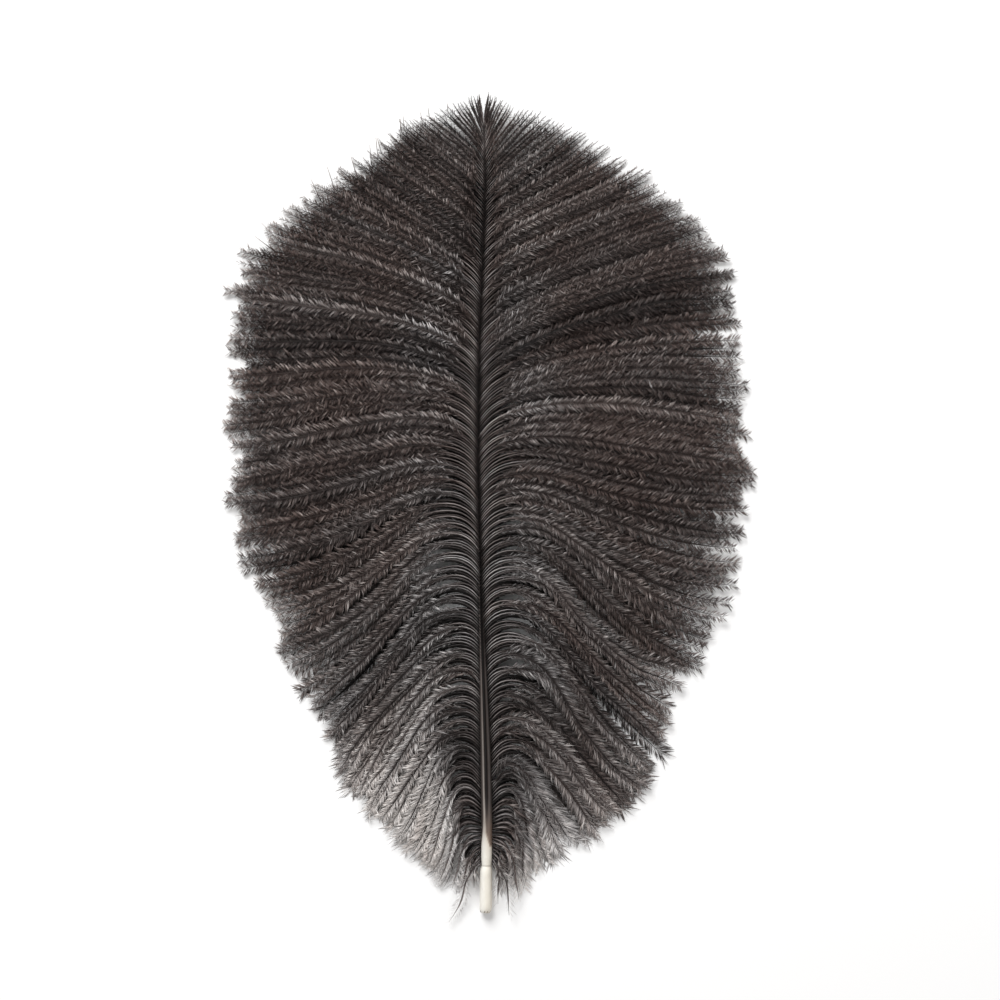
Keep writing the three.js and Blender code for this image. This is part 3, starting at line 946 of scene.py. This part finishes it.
def gather_tufts(points, tuft, pull):
    """Points drawn towards the middle of their tuft."""
    count = np.bincount(tuft)
    middle = np.stack([np.bincount(tuft, points[:, axis]) / count for axis in range(3)], axis=1)
    return mix(points, middle[tuft], pull)


def face_outwards(points):
    """Swaps the corners of blades whose faces would look inwards."""
    root, left, right, tip = points.transpose(1, 0, 2)
    volume = np.einsum("ij,ij->i", left - root, np.cross(right - root, tip - root))
    swap = volume < 0
    points[swap, 1], points[swap, 2] = points[swap, 2].copy(), points[swap, 1].copy()


BLADE_TONE = 0.32
OUTER_PALENESS = 0.05
ROPY_PALENESS = 0.07
LOW_LYING_TIP_PALENESS = 0.14
# Painted highlight: blades on a barb's tip side, towards the key light, are paler, and those on
# the other side darker.
LIT_SIDE_HIGHLIGHT = 0.02
TUFT_CONTRAST = 0.04
STROKES = 0.3  # share of the blades that are paler than the rest
STROKE_PALENESS = (0.18, 0.22)
BLADE_TONE_SPREAD = 0.06
CONTRAST = (0.8, 0.84)
BASE_CONTRAST = 0.64
TOP_CONTRAST = 0.9
TOP_STARTS = (125, 165)
POINT_TONES = np.array([-0.16, 0.0, 0.0, 0.18])  # root, left, right and tip
POINT_HUES = np.array([0.0, 0.02, -0.02, 0.0])


def blade_tone(barbs, blades):
    """How pale a blade is: dark beside the shaft, mid grey-brown outside, pale at the base, and
    paler on the barb's side that faces the light, as a painted highlight.
    """
    rows = blades.rows
    body = BLADE_TONE + OUTER_PALENESS * ease(blades.run_out, 2, 20)
    body = body + ROPY_PALENESS * blades.ropy + barbs.tone[rows]
    body = body + along_table(LEFT_TONE if barbs.side < 0 else RIGHT_TONE, blades.at)
    edge = 0.5 * upper_edge_paleness(barbs.side, blades.at, blades.share)
    pale = base_paleness(barbs.side, blades.at, blades.share) + edge
    low_tip = barbs.low_lying[rows] * ease(blades.share, 0.6, 0.9)
    body = body + LOW_LYING_TIP_PALENESS * low_tip
    return body + pale + LIT_SIDE_HIGHLIGHT * blades.turn * barbs.side


def blade_colours(barbs, blades, rng):
    tuft_tone = rng.normal(0, TUFT_CONTRAST, blades.tufts)[blades.tuft]
    stroke = mix(*STROKE_PALENESS, blades.ropy) * (rng.random(blades.count) < STROKES)
    stroke = stroke + rng.normal(0, BLADE_TONE_SPREAD, blades.count)
    near_shaft = ease(blades.run_out, 4, 9) * (1 - ease(blades.run_out, 14, 32))
    contrast = mix(*CONTRAST, blades.ropy) * (1 + 0.35 * near_shaft)
    contrast = contrast * mix(BASE_CONTRAST, 1, ease(blades.at, *CALM_BASE_ENDS))
    contrast = contrast * mix(1, TOP_CONTRAST, ease(blades.at, *TOP_STARTS))
    patch = patches(barbs, blades.rows, blades.run_out)
    # Painted light: blades that point into a rope get painted shade, and near the shaft the
    # middles of strands get a painted highlight.
    tone = blade_tone(barbs, blades) + (tuft_tone + stroke) * contrast - 0.1 * blades.inner
    tone = tone + 0.01 * patch + 0.05 * barbs.crest[blades.rows] * near_shaft
    tone = tone[:, None] + POINT_TONES * contrast[:, None]
    hue = barbs.hue[blades.rows] + 0.32 * near_shaft + 0.22 * patch
    hue = np.clip(hue + rng.normal(0, 0.1, blades.count), 0.02, 0.98)
    return tone.ravel(), (hue[:, None] + POINT_HUES).ravel()


def blade_mesh(barbs, pick, rng):
    """The soft blades of the picked barbs."""
    blades = plant_blades(barbs, pick, rng)
    follow_barbs(barbs, blades)
    points = blade_points(barbs, blades, rng)
    face_outwards(points)
    faces = np.array([(0, 1, 2), (0, 2, 3), (0, 3, 1), (1, 3, 2)])[:, ::-1]
    faces = (faces[None] + (np.arange(blades.count) * 4)[:, None, None]).reshape(-1, 3)
    tones, hues = blade_colours(barbs, blades, rng)
    return above_table(points.reshape(-1, 3), 0.03), faces, tones, hues


def join_parts(parts):
    """Several (points, faces, tones, hues) as one."""
    points, faces, tones, hues = zip(*parts)
    starts = np.cumsum([0] + [len(p) for p in points[:-1]])
    moved = [f + start for f, start in zip(faces, starts)]
    return tuple(np.concatenate(arrays) for arrays in (points, moved, tones, hues))


# ---------------- shaft

SHAFT_SIDES = 36
SHAFT_RING_SPACING = 0.9
GROOVE_STARTS = (24, 36)
GROOVE_SHADE_GROWS = (24, 34)
GROOVE_HALF_ANGLE = 0.36
GROOVE_DEPTH = 0.8  # as a share of half the width
QUILL_HOLE_WIDTH = 0.9
QUILL_HOLE_DEPTH = 1.4
QUILL_END_WIDTHS = {0.0: 2.2, 0.15: 2.7, 0.4: 3.05, 0.9: 3.3, 1.6: 3.45}  # at: width
NECK_AT = 13.4
NECK_LENGTH = 0.25
# The cream horn of the quill narrows to a pale line on the left lip of the groove, which past the
# quill is a painted highlight.
CREAM_AND_HIGHLIGHT_LINE = [
    # at, half its width, its middle, both as shares of half the shaft's width
    (17.5, 3.0, 0.0),
    (19.5, 0.75, -0.25),
    (23, 0.32, -0.45),
    (28, 0.2, -0.42),
    (60, 0.15, -0.38),
    (100, 0.12, -0.4),
    (112, -0.2, -0.4),
]
# CREAM_AND_HIGHLIGHT_TONE: at, tone.
CREAM_AND_HIGHLIGHT_TONE = [(0, 0.95), (16, 0.96), (20, 0.9), (26, 0.68), (60, 0.6), (100, 0.45)]
# DARK_HORN_TONE: at, tone.
DARK_HORN_TONE = [(30, 0.33), (80, 0.28), (150, 0.2)]
# Painted shade: where the brown band on the right side of the lower shaft ends.
RIGHT_SHADE_ENDS = (20, 33)


def shaft_ring(at, width):
    """One ring of the shaft, from the top round to the right."""
    half = width / 2
    full_half = shaft_value(at, WIDTH) / 2
    centre = max(float(shaft_value(at, HEIGHT)), full_half)
    angle = np.arange(SHAFT_SIDES) / SHAFT_SIDES * 2 * np.pi
    turned = (angle + np.pi) % (2 * np.pi) - np.pi
    groove = GROOVE_DEPTH * ease(at, *GROOVE_STARTS)
    dip = 1 - groove * np.exp(-((turned / GROOVE_HALF_ANGLE) ** 2))
    x = float(shaft_value(at, BOW)) + half * np.sin(angle)
    z = centre + half * np.cos(angle) * np.where(np.cos(angle) > 0, dip, 1)
    return np.stack([x, np.full(SHAFT_SIDES, at), z], axis=1)


def shaft_colours(places, rng):
    """How pale and how brown the horn is, for every ring and every corner of a ring, with painted
    highlight and painted shade laid in.
    """
    at = np.array(places)[:, None]
    beside = np.sin(np.arange(SHAFT_SIDES) / SHAFT_SIDES * 2 * np.pi)[None, :]
    # Cream horn on the quill, and past it a painted highlight on the groove's left lip.
    reach = along_table(CREAM_AND_HIGHLIGHT_LINE, at, 1)
    middle = along_table(CREAM_AND_HIGHLIGHT_LINE, at, 2)
    cream = ease(reach - np.abs(beside - middle), -0.12, 0.12)
    # Painted shade: the lower shaft's right side is a darker brown band beside its pale left side,
    # as though lit from the left.
    shaded_right = (1 - ease(at, *RIGHT_SHADE_ENDS)) * ease(beside, -0.6, 0.3)
    # Painted shade darkens the groove along the middle of the shaft.
    grooved = ease(at, *GROOVE_SHADE_GROWS) * (1 - ease(np.abs(beside), 0.12, 0.3))
    dark_tone = along_table(DARK_HORN_TONE, at) + 0.2 * shaded_right - 0.3 * grooved
    tone = mix(dark_tone, along_table(CREAM_AND_HIGHLIGHT_TONE, at), cream)
    neck = np.exp(-(((at - NECK_AT) / NECK_LENGTH) ** 2))
    # The last term is painted shade: the shaft darkens a little towards its two sides.
    tone = tone - 0.03 * neck - 0.02 * ease(np.abs(beside), 0.6, 1.0)
    speckled = (at < 0.5) * (rng.random(tone.shape) < 0.3)
    tone = tone - 0.5 * speckled + rng.normal(0, 0.008, tone.shape)
    brown = 0.25 + 0.6 * shaded_right + rng.normal(0, 0.02, tone.shape)
    return tone, brown


def make_shaft(material, rng):
    """The quill with its hole, the pale cone above it, and the dark grooved shaft."""
    quill = np.concatenate([np.arange(2.2, 12.5, 0.8), np.arange(12.8, 15.8, 0.2)])
    long = np.arange(16, SHAFT_LENGTH, SHAFT_RING_SPACING)
    places = [QUILL_HOLE_DEPTH, 0.0, *QUILL_END_WIDTHS, *quill, *long, SHAFT_LENGTH]
    widths = [QUILL_HOLE_WIDTH, QUILL_HOLE_WIDTH, *QUILL_END_WIDTHS.values()]
    widths += [float(shaft_value(at, WIDTH)) for at in places[len(widths):]]
    rings = [shaft_ring(at, width) for at, width in zip(places, widths)]
    points = np.concatenate(rings + [rings[0].mean(0)[None], rings[-1].mean(0)[None]])
    faces = []
    sides = SHAFT_SIDES
    start_cap = len(rings) * sides
    for side in range(sides):
        beside = (side + 1) % sides
        faces.append((start_cap, beside, side))
        for ring in range(len(rings) - 1):
            near = ring * sides
            faces.append((near + side, near + beside, near + sides + beside))
            faces.append((near + side, near + sides + beside, near + sides + side))
        last = (len(rings) - 1) * sides
        faces.append((last + side, last + beside, start_cap + 1))
    tone, brown = shaft_colours(places, rng)
    # Painted shade: the rings of the hole, and the cap at its inner end, are painted dark.
    tone[:2] -= 0.6  # the hole is dark
    tones = np.concatenate([tone.ravel(), [0.1, 0.2]])
    browns = np.concatenate([brown.ravel(), [0.5, 0.5]])
    item = mesh_object("shaft", to_row(points), np.array(faces), tones, browns)
    item.data.materials.append(material)
    return item


# ---------------- materials


def new_material(name):
    material = bpy.data.materials.new(name)
    material.use_nodes = True
    nodes = material.node_tree.nodes
    return material, nodes, material.node_tree.links, nodes["Principled BSDF"]


def ramp(nodes, colours):
    """A colour ramp whose stops are evenly spaced."""
    node = nodes.new("ShaderNodeValToRGB")
    elements = node.color_ramp.elements
    while len(elements) < len(colours):
        elements.new(0.5)
    places = np.linspace(0, 1, len(colours))
    for element, place, colour in zip(elements, places, colours):
        element.position = place
        element.color = (*colour, 1.0)
    return node


def colour_map_axes(nodes, links):
    uv = nodes.new("ShaderNodeUVMap")
    uv.uv_map = "OFBake"
    axes = nodes.new("ShaderNodeSeparateXYZ")
    links.new(uv.outputs["UV"], axes.inputs["Vector"])
    return axes


def blended_material(name, first_colours, second_colours, roughness):
    """The map's first axis runs from dark to pale, and its second from one ramp to the other."""
    material, nodes, links, shader = new_material(name)
    axes = colour_map_axes(nodes, links)
    first = ramp(nodes, first_colours)
    second = ramp(nodes, second_colours)
    blend = nodes.new("ShaderNodeMix")
    blend.data_type = "RGBA"
    links.new(axes.outputs["X"], first.inputs["Fac"])
    links.new(axes.outputs["X"], second.inputs["Fac"])
    links.new(axes.outputs["Y"], blend.inputs["Factor"])
    links.new(first.outputs["Color"], blend.inputs["A"])
    links.new(second.outputs["Color"], blend.inputs["B"])
    links.new(blend.outputs["Result"], shader.inputs["Base Color"])
    shader.inputs["Roughness"].default_value = roughness
    shader.inputs["Specular IOR Level"].default_value = 0.3
    return material


def barb_material():
    """Brown-grey down, from warm to cool, each from dark to pale."""
    warm = [
        (0.0035, 0.0022, 0.0018),
        (0.022, 0.0125, 0.0105),
        (0.112, 0.080, 0.071),
        (0.37, 0.31, 0.285),
        (0.82, 0.76, 0.72),
    ]
    cool = [
        (0.003, 0.0025, 0.0025),
        (0.018, 0.0145, 0.014),
        (0.102, 0.091, 0.089),
        (0.35, 0.335, 0.335),
        (0.80, 0.78, 0.77),
    ]
    return blended_material("barbs", warm, cool, 0.55)


def shaft_material():
    """Horn, from grey to brown, each from dark to pale."""
    grey = [
        (0.0025, 0.0022, 0.0022),
        (0.020, 0.017, 0.017),
        (0.105, 0.098, 0.096),
        (0.38, 0.36, 0.34),
        (0.97, 0.955, 0.895),
    ]
    brown = [
        (0.003, 0.002, 0.0015),
        (0.032, 0.018, 0.012),
        (0.165, 0.110, 0.080),
        (0.46, 0.37, 0.29),
        (0.84, 0.80, 0.70),
    ]
    return blended_material("horn", grey, brown, 0.4)


# ---------------- stage


TABLE_SIZE = 6
PHOTO_FRAME = 0.2812  # metres that the photo's frame spans
PHOTO_MIDDLE = (4.1, 116.7, 5.0)  # mm right of and above the quill's end, and over the table
LENS = 85
SENSOR = 36


def make_camera():
    camera = bpy.data.objects.new("camera", bpy.data.cameras.new("camera"))
    camera.data.lens = LENS
    camera.data.sensor_width = SENSOR
    middle = to_row(np.array(PHOTO_MIDDLE)) * MM
    distance = PHOTO_FRAME * LENS / SENSOR
    camera.location = Vector(middle) + Vector((0, 0, distance))
    bpy.context.collection.objects.link(camera)
    bpy.context.scene.camera = camera


def area_light(name, place, size, power):
    """A square soft light that faces the feather."""
    light = bpy.data.lights.new(name, "AREA")
    light.size = size
    light.energy = power
    item = bpy.data.objects.new(name, light)
    item.location = place
    item.rotation_euler = (-Vector(place)).to_track_quat("-Z", "Y").to_euler()
    bpy.context.collection.objects.link(item)


def make_stage():
    """A pale table, soft studio light from the top left, and a pale room."""
    bpy.ops.mesh.primitive_plane_add(size=TABLE_SIZE)
    floor = bpy.context.object
    floor.name = "table"
    material, _, _, shader = new_material("table")
    shader.inputs["Base Color"].default_value = (0.93, 0.93, 0.93, 1)
    shader.inputs["Roughness"].default_value = 0.9
    shader.inputs["Specular IOR Level"].default_value = 0.1
    floor.data.materials.append(material)
    area_light("key", (-0.35, 0.8, 0.7), 0.6, 15)
    area_light("fill", (0.6, -0.5, 0.9), 0.9, 3)
    world = bpy.data.worlds.new("room")
    world.use_nodes = True
    background = world.node_tree.nodes["Background"]
    background.inputs["Color"].default_value = (1.0, 0.985, 0.97, 1)
    background.inputs["Strength"].default_value = 0.4
    bpy.context.scene.world = world
    bpy.context.scene.view_settings.view_transform = "Standard"


# ---------------- making


def make_vane(side_name, side, stations, material, rng):
    """One vane's barbs, a mesh for each zone along the shaft."""
    barbs = grow_barbs(side, stations, rng)
    start = 0
    items = []
    for zone, end in ZONES.items():
        pick = np.flatnonzero((barbs.at >= start) & (barbs.at < end))
        start = end
        parts = [web_mesh(barbs, pick, rng), blade_mesh(barbs, pick, rng)]
        points, faces, tones, hues = join_parts(parts)
        item = mesh_object(f"{side_name}_{zone}_barbs", to_row(points), faces, tones, hues)
        item.data.materials.append(material)
        items.append(item)
    return items


make_camera()
make_stage()
rng = np.random.default_rng(7)
feather = [make_shaft(shaft_material(), rng)]
fluff = barb_material()
feather += make_vane("left", -1, LEFT_BARBS, fluff, rng)
feather += make_vane("right", 1, RIGHT_BARBS, fluff, rng)
for item in feather:
    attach(item, "root")
    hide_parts("feather")
